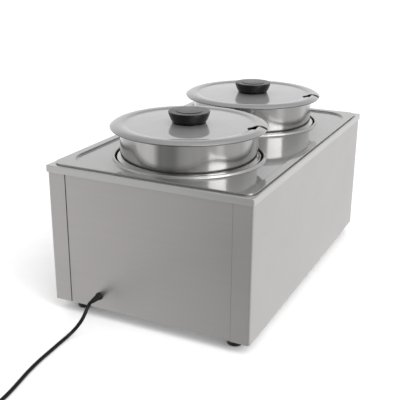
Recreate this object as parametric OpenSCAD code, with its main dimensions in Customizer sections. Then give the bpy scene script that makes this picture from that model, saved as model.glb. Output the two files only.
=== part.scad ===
// Twin round-pot food warmer for a counter: a stainless steel body with a heated water well, an adaptor
// plate that covers the well, and two lidded pots that hang in the plate. The front, with the controls,
// faces -Y, the mains lead leaves the rear face at +Y, and the rubber feet stand on z = 0.

/* [Body] */
// Width of the top frame, across the short faces
frame_w = 334; // [332:1:338]
// Depth of the top frame, along the long sides
frame_d = 544; // [542:1:550]
// Height of the top frame above the surface
frame_top = 240; // [236:1:246]
// Height of the skirt folded down round the top frame
skirt_h = 10.5; // [8:0.5:14]
// Thickness of the body's sheet metal
sheet = 1; // [0.8:0.1:1.2]
// Width of the side panels' wraps on the short faces
wrap_w = 29.5; // [26:0.5:34]

/* [Feet] */
// Height of a rubber foot
foot_h = 20; // [18:1:22]
// Radius of a rubber foot at the floor
foot_r = 12; // [11:0.5:13]

/* [Well] */
// Depth of the water well below its flange
well_depth = 150; // [140:1:152]
// Corner radius of the well
well_corner_r = 50; // [46:1:52]

/* [Adaptor plate] */
// Width of the adaptor plate, a 1/1 gastronorm size
plate_w = 325; // [324:0.5:326]
// Depth of the adaptor plate, a 1/1 gastronorm size
plate_d = 530; // [528:0.5:532]
// Drop of the plate's pressed floor below its rim
plate_drop = 3; // [2.5:0.25:3.5]
// Distance of each pot's axis from the middle of the plate
pot_offset = 129; // [127.5:0.5:130]

/* [Pots and lids] */
// Outer radius of a pot's wall
pot_r = 106.4; // [105:0.2:107]
// Height of a pot, from its floor to the top of its rim
pot_h = 165.4; // [155:0.2:168]
// Outer radius of a lid
lid_r = 121.5; // [120:0.5:122]
// Width of the ladle notch in a lid
notch_w = 26; // [22:1:30]
// Height of a lid's knob
lid_knob_h = 19; // [16:0.5:22]

/* [Mains lead] */
// Diameter of the lead
cord_dia = 5.5; // [5.1:0.1:5.5]

/* [Hidden] */
$fn = 64;
eps = 0.01;

// Body: the panels stand just inside the frame's skirt
body_w = frame_w - 3;
body_d = frame_d - 5;
body_bottom = foot_h - sheet;
panel_h = frame_top - sheet - body_bottom;
bend_r = 2.5;
flange_w = 14;
face_y = body_d / 2 - sheet;
face_w = body_w - 2 * sheet - 29;
frame_corner_r = 2;

// Well: its flange lies on the frame and carries the plate
tank_sheet = 1;
flange_t = 1.5;
flange_z = frame_top + flange_t;
well_w = 303;
well_d = 508;
tank_w = well_w + 2 * tank_sheet;
tank_d = well_d + 2 * tank_sheet;
tank_corner_r = well_corner_r + tank_sheet;
tank_flange_w = plate_w - 5;
tank_flange_d = plate_d - 5;
tank_floor_z = flange_z - well_depth;
tank_bottom_z = tank_floor_z - tank_sheet;

// Plate: rim on the tank's flange, floor pressed down inside the well's mouth
plate_t = 1;
rim_z = flange_z + plate_t;
plate_floor_z = rim_z - plate_drop;
recess_w = well_w - 2;
recess_d = well_d - 2;
recess_r = well_corner_r - 1;
plate_corner_r = 18;
collar_r = 120.5;
lip_r = 114.7;
tab_r = 109.4;
tab_w = 20;

// Pots and lids
pot_t = 1;
ring_r = pot_r + 5.6;
ring_h = 2.8;
ring_z = plate_floor_z - 0.9;
pot_bottom_z = 127;
pot_top_z = pot_bottom_z + pot_h;
pot_corner_r = 10;
flange_r = pot_r + 14.4;
notch_r = 92.5;
notch_turn = 187.5;
knob_z = pot_top_z + 0.1;
lid_under_z = pot_top_z - 0.9;
knob_r = 32.2;
insert_r = 2.5;

// Controls on the front panel
control_z = 60;
dial_x = 40;
lamp_x = -20;
switch_x = -70;
front_face_y = -face_y;
dial_t = 1;
dial_inner_r = 22.5;
dial_outer_r = 33;
shaft_r = 3;
running_gap = 0.05;
control_knob_r = 21;
control_knob_back = front_face_y - 2.7;
knob_front_y = -288.5;
therm_screw_xs = [dial_x - 14, dial_x + 14];
rocker_pivot_y = front_face_y + 2.5;
rocker_r = 13;
rocker_w = 18;
rocker_tilt = 10;
rocker_pin_r = 1.5;
switch_w = 25;
switch_tall = 32;
bezel_t = 2;

// Heating below the well
element_r = 4;
element_x = 60;
element_z = tank_bottom_z - element_r - 0.1;
clamp_t = 1.5;
clamp_z = element_z - element_r - clamp_t;
clamp_ys = [-120, 0, 120];
stud_r = 2.5;
bulb_x = 25;
bulb_z = tank_bottom_z - 3.3;

// Screws: M4 below, M5 in the lid knobs
m4_r = 2;
m4_hole_r = 2.2;
nut_r = 4.04;
foot_seat_z = 8;
foot_x = 131;
foot_y = 239;
base_screw_places = [[-157, -150], [-157, 150], [157, -150], [157, 150], [-60, -261], [60, -261],
    [-60, 261], [60, 261]];

// Mains lead: bush, route of the stretch that lies free, coil, tail and plug
cord_r = cord_dia / 2;
gland_x = 84;
gland_z = 40;
gland_tip_y = 288.5;
gland_hole_r = 5;
coil_x = 35;
coil_y = 568;
coil_start_r = 43;
coil_inner_r = 20;
coil_outer_r = coil_start_r + cord_r;
coil_h = 2 * cord_dia;
cord_route = [[84, 288.5, 40], [84, 293, 40], [82.8, 299.5, 38.8], [81.9, 306.5, 34.8], [82.2, 312.5, 29],
    [83.6, 318, 22.8], [86.2, 323.5, 16.7], [89.5, 329, 11.1], [92.6, 335, 6.6], [94.8, 342, 3.8],
    [95.5, 350, 2.8], [95.2, 360, 2.75], [94.4, 374, 2.75], [93.8, 388, 2.75], [93, 402, 2.75],
    [91.9, 416, 2.75], [90.3, 430, 2.75], [88.2, 444, 2.75], [85.6, 458, 2.75], [83, 472, 2.75],
    [80.7, 486, 2.75], [79, 500, 2.75], [78.1, 514, 2.75], [78, 528, 2.75], [78, 542, 2.75],
    [78, 555, 2.75], [78, 568, 2.75]];
tail_route = [[35, 611, 8.25], [27, 611, 8.25], [18, 611, 7.6], [9, 611, 6], [0, 611, 4.2], [-9, 611, 2.9],
    [-18, 611, 3.1], [-27, 611, 4.6], [-36, 611, 7], [-44, 611, 9.3], [-52, 611, 10.5], [-60, 611, 10.5]];
plug_cable_x = -60;
plug_y = 611;
plug_cable_z = 10.5;
plug_t = 21;
plug_back_x = -84;
plug_len = 48;
plug_wide = 50;

// ---- Shared shapes ----

// Rectangle with round corners, centred
module rounded_rect(w, d, r) {
    square([w - 2 * r, d], center = true);
    square([w, d - 2 * r], center = true);
    for (sx = [-1, 1], sy = [-1, 1]) translate([sx * (w / 2 - r), sy * (d / 2 - r)]) circle(r);
}

// Wall of the given thickness, standing inside a rounded rectangle
module rounded_wall(w, d, r, t) {
    difference() {
        rounded_rect(w, d, r);
        rounded_rect(w - 2 * t, d - 2 * t, r - t);
    }
}

// Points of an arc about c, from angle a0 to a1
function arc(c, r, a0, a1, n) =
    [for (i = [0:n]) c + r * [cos(a0 + (a1 - a0) * i / n), sin(a0 + (a1 - a0) * i / n)]];

function unit(v) = v / norm(v);
function tangents(p) = [for (i = [0:len(p) - 1]) unit(p[min(i + 1, len(p) - 1)] - p[max(i - 1, 0)])];
function side_of(prev, t) = unit(prev - (prev * t) * t);
function sides(t, prev, i = 0, found = []) =
    i == len(t) ? found : sides(t, side_of(prev, t[i]), i + 1, concat(found, [side_of(prev, t[i])]));

// Points between a route's own points on one smooth curve
function blend(a, b, c, d, u) =
    0.5 * (2 * b + (c - a) * u + (2 * a - 5 * b + 4 * c - d) * u * u + (3 * b - a - 3 * c + d) * u * u * u);
function smooth(p, n) = concat([for (i = [0:len(p) - 2], k = [0:n - 1])
    blend(p[max(i - 1, 0)], p[i], p[i + 1], p[min(i + 2, len(p) - 1)], k / n)], [p[len(p) - 1]]);

// Round tube that follows a route, as one closed solid
module swept_tube(route, r, around) {
    t = tangents(route);
    n = sides(t, [1, 0.013, 0.4]);
    last = len(route) - 1;
    points = [for (i = [0:last], k = [0:around - 1])
        route[i] + r * (cos(360 * k / around) * n[i] + sin(360 * k / around) * cross(t[i], n[i]))];
    walls = [for (i = [0:last - 1], k = [0:around - 1]) let (m = (k + 1) % around)
        [i * around + k, (i + 1) * around + k, (i + 1) * around + m, i * around + m]];
    start_cap = [[for (k = [0:around - 1]) k]];
    end_cap = [[for (k = [around - 1:-1:0]) last * around + k]];
    polyhedron(points = points, faces = concat(start_cap, walls, end_cap));
}

// Cylinder along Y from y0 to y1
module rod_y(x, y0, y1, z, r) {
    translate([x, y1, z]) rotate([90, 0, 0]) cylinder(h = y1 - y0, r = r);
}

// Pan-head screw with its head below and its shank pointing up, head's seat at the origin
module screw_up(head_r, head_h, shank_r, shank_len) {
    translate([0, 0, -head_h]) cylinder(h = head_h, r = head_r);
    translate([0, 0, -eps]) cylinder(h = shank_len + eps, r = shank_r);
}

module nut(r, h, bore) {
    difference() {
        cylinder(h = h, r = r, $fn = 6);
        translate([0, 0, -1]) cylinder(h = h + 2, r = bore);
    }
}

module at_feet() {
    for (sx = [-1, 1], sy = [-1, 1]) translate([sx * foot_x, sy * foot_y, 0]) children();
}

// ---- Body ----

module top_frame() color("gainsboro") {
    translate([0, 0, frame_top - sheet]) linear_extrude(sheet) difference() {
        rounded_rect(frame_w, frame_d, frame_corner_r);
        rounded_rect(well_w + 4, well_d + 4, well_corner_r + 2);
    }
    translate([0, 0, frame_top - skirt_h]) linear_extrude(skirt_h - sheet)
        rounded_wall(frame_w, frame_d, frame_corner_r, sheet);
}

// Side panel on +X: long wall, its wraps on the short faces and a flange at its foot
module side_panel() {
    difference() {
        union() {
            translate([0, 0, body_bottom]) linear_extrude(panel_h) intersection() {
                rounded_wall(body_w, body_d, bend_r, sheet);
                translate([body_w / 2 - wrap_w, -body_d]) square([wrap_w + 10, 2 * body_d]);
            }
            translate([body_w / 2 - sheet - flange_w, -face_y + 20, body_bottom])
                cube([flange_w + eps, 2 * face_y - 40, sheet]);
        }
        for (y = [-150, 150]) translate([157, y, 0]) cylinder(h = 60, r = m4_hole_r);
    }
}

module left_side_panel() color("silver") mirror([1, 0, 0]) side_panel();
module right_side_panel() color("silver") side_panel();

// Panel of a short face, behind the wraps, on +Y
module face_panel() {
    difference() {
        union() {
            translate([-face_w / 2, face_y - sheet, body_bottom]) cube([face_w, sheet, panel_h]);
            translate([-face_w / 2 + 16, face_y - sheet - flange_w, body_bottom])
                cube([face_w - 32, flange_w + eps, sheet]);
        }
        for (x = [-60, 60]) translate([x, 261, 0]) cylinder(h = 60, r = m4_hole_r);
    }
}

module rear_panel() color("lightgray") difference() {
    face_panel();
    rod_y(gland_x, face_y - 5, face_y + 5, gland_z, gland_hole_r);
}

module front_panel() color("lightgray") difference() {
    mirror([0, 1, 0]) face_panel();
    rod_y(dial_x, front_face_y - 5, front_face_y + 5, control_z, shaft_r + 1.5);
    for (x = therm_screw_xs) rod_y(x, front_face_y - 5, front_face_y + 5, control_z, m4_hole_r);
    rod_y(lamp_x, front_face_y - 5, front_face_y + 5, control_z, 6.2);
    translate([switch_x - 11.2, front_face_y - 5, control_z - 14.7]) cube([22.4, 10, 29.4]);
}

module base_plate() color("darkgray") difference() {
    translate([0, 0, foot_h]) linear_extrude(sheet) rounded_rect(body_w - 2.4, 2 * face_y - 2.4, 2);
    at_feet() cylinder(h = 60, r = m4_hole_r);
    for (p = base_screw_places) translate([p.x, p.y, 0]) cylinder(h = 60, r = m4_hole_r);
    for (x = [-60, 60], i = [-4:4]) translate([x - 20, i * 22 - 2.5, foot_h - 1]) cube([40, 5, sheet + 2]);
}

module rubber_feet() color([0.08, 0.08, 0.08]) at_feet() difference() {
    rotate_extrude() polygon([[0, 0], [foot_r - 1.2, 0], [foot_r - 0.3, 0.4], [foot_r, 1.2],
        [foot_r - 0.8, foot_h], [0, foot_h]]);
    translate([0, 0, -1]) cylinder(h = foot_seat_z + 1, r = 5.5);
    cylinder(h = foot_h + 1, r = m4_hole_r);
}

module foot_screws() color("dimgray") at_feet() translate([0, 0, foot_seat_z]) screw_up(4.2, 2.6, m4_r, 19);

module foot_nuts() color("dimgray") at_feet() translate([0, 0, foot_h + sheet])
    nut(nut_r, 3.2, m4_r + running_gap);

module base_screws() color("dimgray") for (p = base_screw_places)
    translate([p.x, p.y, body_bottom]) screw_up(3.6, 2.2, m4_r, 8);

// ---- Well and heating ----

module well_tank() color("whitesmoke") {
    translate([0, 0, frame_top]) linear_extrude(flange_t) difference() {
        rounded_rect(tank_flange_w, tank_flange_d, plate_corner_r - 2);
        rounded_rect(well_w, well_d, well_corner_r);
    }
    translate([0, 0, tank_floor_z]) linear_extrude(frame_top - tank_floor_z)
        rounded_wall(tank_w, tank_d, tank_corner_r, tank_sheet);
    translate([0, 0, tank_bottom_z]) linear_extrude(tank_sheet) rounded_rect(tank_w, tank_d, tank_corner_r);
}

// U-shaped tube against the well's underside, with a terminal pin at each end
module heating_element() color("slategray") translate([0, 0, element_z]) {
    for (s = [-1, 1]) {
        rod_y(s * element_x, -175, 165, 0, element_r);
        rod_y(s * element_x, -195, -175 + eps, 0, 1.5);
    }
    translate([0, 165, 0]) rotate_extrude(angle = 180) translate([element_x, 0]) circle(element_r);
}

module element_clamps() color("silver") for (y = clamp_ys) difference() {
    translate([-element_x - 15, y - 8, clamp_z]) cube([2 * element_x + 30, 16, clamp_t]);
    translate([0, y, clamp_z - 1]) cylinder(h = clamp_t + 2, r = stud_r + 0.2);
}

module clamp_studs() color("gray") for (y = clamp_ys)
    translate([0, y, clamp_z - 7]) cylinder(h = tank_bottom_z - clamp_z + 7, r = stud_r);

module clamp_nuts() color("gray") for (y = clamp_ys)
    translate([0, y, clamp_z - 4]) nut(4.6, 4, stud_r + running_gap);

module thermostat_bulb() color("peru") rod_y(bulb_x, -70, 25, bulb_z, 3);

module bulb_clips() color("silver") for (y = [-50, 5]) translate([bulb_x, y, bulb_z]) {
    difference() {
        rod_y(0, -4, 4, 0, 4);
        rod_y(0, -5, 5, 0, 3.15);
        translate([-6, -5, 0.5]) cube([12, 10, 6]);
    }
    for (s = [-1, 1]) translate([s * 3.6 - 0.42, -4, 0.3]) cube([0.84, 8, 3]);
    for (s = [-1, 1]) translate([s * 6.5 - 3.3, -4, 2.5]) cube([6.6, 8, 0.8]);
}

module overheat_cutout() color("saddlebrown") translate([-25, -60, 0]) {
    translate([0, 0, tank_bottom_z - 11.5]) cylinder(h = 11.4, r = 8.5);
    translate([-13, -5, tank_bottom_z - 1.1]) cube([26, 10, 1]);
    for (s = [-1, 1]) translate([s * 4 - 0.4, -3, tank_bottom_z - 18]) cube([0.8, 6, 7]);
}

// ---- Controls ----

module thermostat_body() color("ivory") difference() {
    translate([dial_x - 18, front_face_y + sheet, control_z - 18]) cube([36, 26, 36]);
    rod_y(dial_x, front_face_y - 1, front_face_y + 14, control_z, shaft_r + running_gap);
    for (x = therm_screw_xs) rod_y(x, front_face_y - 1, front_face_y + 10, control_z, m4_r + running_gap);
}

module thermostat_screws() color("gray") for (x = therm_screw_xs) {
    rod_y(x, front_face_y - 1.8, front_face_y, control_z, 3.5);
    rod_y(x, front_face_y - eps, front_face_y + 9, control_z, m4_r);
}

module thermostat_shaft() color("gray")
    rod_y(dial_x, knob_front_y + 6, front_face_y + 13, control_z, shaft_r);

// Round knob with a grip bar across its face, and a blind bore that takes the shaft
module thermostat_knob() color([0.1, 0.1, 0.1]) difference() {
    translate([dial_x, control_knob_back, control_z]) rotate([90, 0, 0]) union() {
        rotate_extrude() polygon([[0, 0], [control_knob_r, 0], [control_knob_r, 3.2],
            [control_knob_r - 1, 4], [14.5, 6], [12.8, 8], [0, 8]]);
        linear_extrude(control_knob_back - knob_front_y) union() {
            square([8, 30], center = true);
            for (s = [-1, 1]) translate([0, 15 * s]) circle(4);
        }
    }
    rod_y(dial_x, knob_front_y + 6 - eps, front_face_y, control_z, shaft_r + eps);
}

module dial_ring() color("silver") difference() {
    rod_y(dial_x, front_face_y - dial_t, front_face_y, control_z, dial_outer_r);
    rod_y(dial_x, front_face_y - dial_t - 1, front_face_y + 1, control_z, dial_inner_r);
}

module switch_housing() color([0.1, 0.1, 0.1]) difference() {
    union() {
        translate([switch_x - switch_w / 2, front_face_y - bezel_t, control_z - switch_tall / 2])
            cube([switch_w, bezel_t, switch_tall]);
        translate([switch_x - 11, front_face_y - eps, control_z - 14.5]) cube([22, 24, 29]);
    }
    translate([switch_x - rocker_w / 2 - 0.25, front_face_y - bezel_t - 1, control_z - rocker_r - 0.35])
        cube([rocker_w + 0.5, bezel_t + 14, 2 * rocker_r + 0.7]);
    translate([switch_x - 10.3, rocker_pivot_y, control_z]) rotate([0, 90, 0])
        cylinder(h = 20.6, r = rocker_pin_r + running_gap);
}

// Two-faced rocker on its pins, modelled in the off position with its lower half pressed out
module switch_rocker() color("darkgreen") translate([switch_x, rocker_pivot_y, control_z])
    rotate([-rocker_tilt, 0, 0]) {
        translate([-rocker_w / 2, 0, 0]) rotate([90, 0, 90]) linear_extrude(rocker_w) intersection() {
            circle(rocker_r);
            polygon([[5, -14], [5, 14], [-6.6, 14], [-4.2, 0], [-6.6, -14]]);
        }
        translate([-10.2, 0, 0]) rotate([0, 90, 0]) cylinder(h = 20.4, r = rocker_pin_r);
    }

module lamp_body() color("dimgray") {
    rod_y(lamp_x, front_face_y - 1.5, front_face_y, control_z, 8.5);
    rod_y(lamp_x, front_face_y - eps, front_face_y + 24, control_z, 6);
}

module lamp_lens() color("orange") translate([lamp_x, front_face_y - 1.5, control_z]) rotate([90, 0, 0])
    rotate_extrude() polygon([[0, 0], [6.5, 0], [6.5, 1.2], [6, 2.6], [4.6, 3.8], [2.4, 4.4], [0, 4.5]]);

// ---- Wiring ----

module terminal_block() color("ivory") difference() {
    translate([42, 215, foot_h + sheet]) cube([36, 20, 16]);
    for (i = [-1:1]) translate([60 + i * 11, 225, foot_h + 7]) cylinder(h = 20, r = 2.2);
    for (i = [-1:1]) rod_y(60 + i * 11, 210, 240, foot_h + 9, 1.7);
}

module earth_stud() color("goldenrod") translate([110, 205, foot_h + sheet]) {
    cylinder(h = 16, r = m4_r);
    nut(nut_r, 3.2, m4_r);
    translate([0, 0, 7]) nut(nut_r, 3.2, m4_r);
}

wire_r = 1.3;
live_wires = [
    [[86.6, 262, 41], [86, 254, 41], [82, 246, 37], [74, 240, 30], [71, 237.5, 29], [71, 235.3, 29]],
    [[71, 214.7, 29], [71, 205, 29], [60, 150, 26], [20, 20, 25], [-40, -150, 30], [-60, -225, 40],
        [-66, -237, 49], [-66, -244, 50]],
    [[-74, -244, 50], [-74, -232, 54], [-45, -216, 56], [10, -220, 54], [30, -232, 51], [32, -241, 50]],
    [[48, -241, 50], [50, -230, 52], [56, -214, 72], [60, -203, 86], [60, -195.6, 86.4]],
    [[-17.5, -244, 60], [-16, -234, 60], [10, -226, 60], [38, -232, 57], [44, -241, 57]]
];
neutral_wires = [
    [[84, 262, 38], [83, 255, 38], [74, 247, 33], [63, 241, 29.5], [60, 238, 29], [60, 235.3, 29]],
    [[60, 214.7, 29], [60, 204, 29], [46, 150, 26], [0, 20, 25], [-56, -150, 32], [-76, -225, 60],
        [-74, -237, 67], [-74, -244, 68]],
    [[-66, -244, 68], [-65, -232, 71], [-61, -215, 84], [-60, -203, 86.4], [-60, -195.6, 86.4]],
    [[-22.5, -244, 60], [-24, -234, 61], [-42, -228, 66], [-56, -235, 69], [-60.5, -244, 70]]
];
earth_wires = [
    [[81.4, 262, 41], [79, 256, 41], [66, 249, 36], [52, 243, 30.5], [49, 238, 29], [49, 235.3, 29]],
    [[49, 214.7, 29], [50, 207, 32], [62, 197, 37], [80, 192, 37], [98, 195, 29], [108.3, 203.7, 26]]
];

module wires(routes) {
    for (route = routes) swept_tube(smooth(route, 4), wire_r, 8);
}

module live_wiring() color("sienna") wires(live_wires);
module neutral_wiring() color("steelblue") wires(neutral_wires);
module earth_wiring() color("yellowgreen") wires(earth_wires);

module capillary_tube() color("peru") swept_tube(smooth([[30, -241.3, 66], [30, -234, 66.5], [33, -215, 76],
    [36, -180, 79], [33, -140, 78], [29, -100, 80], [25, -80, 87], [bulb_x, -70.1, bulb_z]], 4), 0.8, 8);

// Rubber bush: flange and taper outside, collar inside, groove for the rear panel between
module cord_gland() color([0.08, 0.08, 0.08]) translate([gland_x, 0, gland_z]) rotate([-90, 0, 0])
    rotate_extrude() polygon([[0, face_y - 6], [6.3, face_y - 6], [6.3, face_y - sheet],
        [4.8, face_y - sheet], [4.8, face_y], [6, face_y], [6, face_y + 2.4], [5.4, face_y + 3.2],
        [4.6, face_y + 3.4], [3.5, gland_tip_y - 0.6],
        [3, gland_tip_y], [0, gland_tip_y]]);

// ---- Adaptor plate ----

// Raised collar round a hole, a bent strip of the plate's sheet
module plate_collar() {
    z = plate_floor_z;
    rotate_extrude($fn = 96) polygon([[collar_r, z], [119.3, z + 0.5], [118.5, z + 2.8], [117.9, z + 3.7],
        [117, z + 4], [116, z + 4], [115.1, z + 3.6], [lip_r, z + 2.8], [lip_r, z - 1.9],
        [lip_r + 1, z - 1.9], [lip_r + 1, z + 2.6], [116.3, z + 3], [116.9, z + 3], [117.4, z + 2.6],
        [118.3, z - 0.2], [119.3, z - 1], [collar_r, z - 1]]);
}

// Tabs turned in from a hole's lip, which carry the pot's ring
module plate_tabs() {
    translate([0, 0, ring_z - plate_t]) linear_extrude(plate_t) intersection() {
        difference() {
            circle(lip_r + 1);
            circle(tab_r);
        }
        union() {
            square([260, tab_w], center = true);
            square([tab_w, 260], center = true);
        }
    }
}

module adaptor_plate() color("gainsboro") {
    translate([0, 0, flange_z]) linear_extrude(plate_t) difference() {
        rounded_rect(plate_w, plate_d, plate_corner_r);
        rounded_rect(recess_w, recess_d, recess_r);
    }
    translate([0, 0, plate_floor_z - plate_t]) linear_extrude(plate_drop + plate_t)
        rounded_wall(recess_w, recess_d, recess_r, plate_t);
    translate([0, 0, plate_floor_z - plate_t]) linear_extrude(plate_t) difference() {
        rounded_rect(recess_w - 2 * plate_t, recess_d - 2 * plate_t, recess_r - plate_t);
        for (s = [-1, 1]) translate([0, s * pot_offset]) circle(collar_r, $fn = 96);
    }
    for (s = [-1, 1]) translate([0, s * pot_offset, 0]) {
        plate_collar();
        plate_tabs();
    }
}

// ---- Pots and lids ----

// Straight-walled pot with a hanging ring, and a curved flange at its mouth that the lid rests on
module pot() {
    inner_r = pot_r - pot_t;
    corner_z = pot_bottom_z + pot_corner_r;
    z = pot_top_z;
    rotate_extrude($fn = 96) polygon(concat(
        [[0, pot_bottom_z + pot_t]],
        arc([pot_r - pot_corner_r, corner_z], pot_corner_r - pot_t, -90, 0, 6),
        [[inner_r, z - 2.2], [inner_r + 0.3, z - 1.2], [pot_r, z - 0.45], [pot_r + 0.8, z - 0.1],
            [pot_r + 1.6, z], [pot_r + 3.6, z], [pot_r + 6.1, z - 0.7], [pot_r + 9.1, z - 1.6],
            [pot_r + 11.4, z - 2.6], [pot_r + 13.2, z - 3.7], [flange_r, z - 4.8], [flange_r - 0.6, z - 5.5],
            [pot_r + 12.4, z - 4.5], [pot_r + 10.7, z - 3.5], [pot_r + 8.6, z - 2.6], [pot_r + 5.8, z - 1.7], [pot_r + 3.6, z - 1],
            [pot_r + 1.6, z - 1], [pot_r + 0.6, z - 1.4], [pot_r, z - 2.2], [pot_r, ring_z + ring_h]],
        arc([ring_r - ring_h / 2, ring_z + ring_h / 2], ring_h / 2, 90, -90, 6),
        [[pot_r, ring_z]],
        arc([pot_r - pot_corner_r, corner_z], pot_corner_r, 0, -90, 6),
        [[0, pot_bottom_z]]));
}

// Pressed lid: low disc, arched flange that rests on the pot's own, thin edge and a round-ended notch
module lid() {
    z = pot_top_z;
    difference() {
        rotate_extrude($fn = 96) polygon([[0, z + 0.1], [26, z + 0.1], [50, z - 0.3], [95.5, z - 1.4],
            [97.5, z - 1.3], [99.5, z - 0.7], [102, z + 0.2], [104.5, z + 0.75], [107.5, z + 1],
            [110.5, z + 1], [113.5, z + 0.6], [116.5, z - 0.3], [119, z - 1.5], [120.8, z - 2.7],
            [lid_r, z - 3.5], [lid_r - 0.1, z - 4], [lid_r - 0.7, z - 4], [120, z - 3.2], [118.2, z - 2.2],
            [115.9, z - 1.2], [113, z - 0.4], [110.5, z], [107.5, z], [104.8, z - 0.25], [102.4, z - 0.8],
            [100, z - 1.7], [98, z - 2.3], [95.5, z - 2.4], [50, z - 1.3], [26, lid_under_z],
            [0, lid_under_z]]);
        rotate(notch_turn) translate([notch_r + notch_w / 2, 0, z - 10]) {
            cylinder(h = 20, r = notch_w / 2);
            translate([0, -notch_w / 2, 0]) cube([40, notch_w, 20]);
        }
        translate([0, 0, z - 5]) cylinder(h = 10, r = insert_r + 0.25);
    }
}

// Bowl-shaped knob on a narrow base ring, with a raised disc on top and a blind bore for its screw
module lid_knob() {
    h = lid_knob_h;
    translate([0, 0, knob_z]) difference() {
        rotate_extrude($fn = 72) polygon([[0, 0], [25.6, 0], [26.3, 0.5], [26.3, 1.2], [25.3, 1.7],
            [25.4, 2.1], [26.6, 2.9], [28, 5], [29.4, 8], [30.6, 11], [31.5, 13.6], [knob_r, h - 2.6],
            [knob_r - 0.2, h - 1.5], [knob_r - 0.9, h - 1], [22, h - 0.8], [21.2, h - 0.7],
            [20.7, h - 0.1], [20.2, h], [0, h]]);
        translate([0, 0, -1]) cylinder(h = 13, r = insert_r);
    }
}

module knob_washer() translate([0, 0, lid_under_z - 1.2]) difference() {
    cylinder(h = 1.2, r = 7.5);
    translate([0, 0, -1]) cylinder(h = 4, r = insert_r + 0.2);
}

module knob_screw() translate([0, 0, lid_under_z - 1.2]) screw_up(4.6, 2.8, insert_r, 13);

module at_front() translate([0, -pot_offset, 0]) children();
module at_rear() translate([0, pot_offset, 0]) children();

module front_pot() color("silver") at_front() pot();
module rear_pot() color("silver") at_rear() pot();
module front_lid() color("whitesmoke") at_front() lid();
module rear_lid() color("whitesmoke") at_rear() lid();
module front_lid_knob() color([0.1, 0.1, 0.1]) at_front() lid_knob();
module rear_lid_knob() color([0.1, 0.1, 0.1]) at_rear() lid_knob();
module front_knob_screw() color("gray") at_front() knob_screw();
module rear_knob_screw() color("gray") at_rear() knob_screw();
module front_knob_washer() color("silver") at_front() knob_washer();
module rear_knob_washer() color("silver") at_rear() knob_washer();

// ---- Lead, coil and plug ----

module power_cord() color([0.08, 0.08, 0.08]) swept_tube(cord_route, cord_r, 10);
module cord_tail() color([0.08, 0.08, 0.08]) swept_tube(tail_route, cord_r, 10);

module cord_coil() color([0.12, 0.12, 0.12]) translate([coil_x, coil_y, 0]) rotate_extrude($fn = 72)
    polygon(concat(arc([coil_inner_r + cord_r, cord_r], cord_r, 180, 270, 3),
        arc([coil_outer_r - cord_r, cord_r], cord_r, 270, 360, 3),
        arc([coil_outer_r - cord_r, coil_h - cord_r], cord_r, 0, 90, 3),
        arc([coil_inner_r + cord_r, coil_h - cord_r], cord_r, 90, 180, 3)));

// Band round the coil's section, on the side away from the cord's ends
module coil_tie() color("dimgray")
    translate([coil_x, coil_y - (coil_inner_r + coil_outer_r) / 2, 0.5 + coil_h / 2])
        rotate([90, 0, 90]) linear_extrude(9, center = true)
            rounded_wall(coil_outer_r - coil_inner_r + 2.4, coil_h + 1, 3.2, 1.1);

// Moulded three-pin plug on its back, with the cable's taper at its rear
module plug_body() color([0.1, 0.1, 0.1]) difference() {
    union() {
        translate([plug_back_x - plug_len / 2, plug_y, 0]) linear_extrude(plug_t)
            rounded_rect(plug_len, plug_wide, 8);
        translate([plug_cable_x, plug_y, plug_cable_z]) rotate([0, -90, 0]) rotate_extrude()
            polygon([[0, 0], [3.4, 0], [3.7, 0.6], [6.2, -plug_back_x + plug_cable_x + eps],
                [0, -plug_back_x + plug_cable_x + eps]]);
    }
    translate([plug_back_x - 28, plug_y - 12, plug_t - 4]) cube([10, 24, 5]);
}

module fuse_carrier() color("firebrick") translate([plug_back_x - 27.8, plug_y - 11.8, plug_t - 4])
    cube([9.6, 23.6, 4.2]);

module plug_pins() color("gold") {
    for (s = [-1, 1]) translate([plug_back_x - 13.2, plug_y + s * 11.1 - 2, plug_t]) cube([6.4, 4, 17.7]);
    translate([plug_back_x - 36, plug_y - 4, plug_t]) cube([4, 8, 22.7]);
}

top_frame();
left_side_panel();
right_side_panel();
rear_panel();
front_panel();
base_plate();
rubber_feet();
foot_screws();
foot_nuts();
base_screws();
well_tank();
heating_element();
element_clamps();
clamp_studs();
clamp_nuts();
thermostat_body();
thermostat_screws();
thermostat_shaft();
thermostat_knob();
dial_ring();
thermostat_bulb();
capillary_tube();
bulb_clips();
overheat_cutout();
switch_housing();
switch_rocker();
lamp_body();
lamp_lens();
terminal_block();
earth_stud();
live_wiring();
neutral_wiring();
earth_wiring();
cord_gland();
adaptor_plate();
front_pot();
rear_pot();
front_lid();
rear_lid();
front_lid_knob();
rear_lid_knob();
front_knob_screw();
rear_knob_screw();
front_knob_washer();
rear_knob_washer();
power_cord();
cord_coil();
cord_tail();
coil_tie();
plug_body();
plug_pins();
fuse_carrier();
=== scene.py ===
"""Looks of the twin-pot food warmer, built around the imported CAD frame. Metres, +Z up, front faces -Y."""

import math

import bmesh
import bpy
from mathutils import Matrix, Vector


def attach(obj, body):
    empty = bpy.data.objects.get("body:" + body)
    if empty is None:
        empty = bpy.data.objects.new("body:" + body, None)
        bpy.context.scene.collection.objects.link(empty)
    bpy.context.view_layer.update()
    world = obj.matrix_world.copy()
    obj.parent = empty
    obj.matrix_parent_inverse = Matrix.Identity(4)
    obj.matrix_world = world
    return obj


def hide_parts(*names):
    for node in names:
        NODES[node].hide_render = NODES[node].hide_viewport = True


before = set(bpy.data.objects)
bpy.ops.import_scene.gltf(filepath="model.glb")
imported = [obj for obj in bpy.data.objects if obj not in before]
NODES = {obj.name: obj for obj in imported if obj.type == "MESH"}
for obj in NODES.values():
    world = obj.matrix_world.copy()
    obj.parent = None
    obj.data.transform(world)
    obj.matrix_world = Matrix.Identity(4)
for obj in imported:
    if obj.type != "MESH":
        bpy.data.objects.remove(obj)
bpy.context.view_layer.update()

MM = 0.001
BODY = "warmer_body"


# ---- Camera ----

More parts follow.
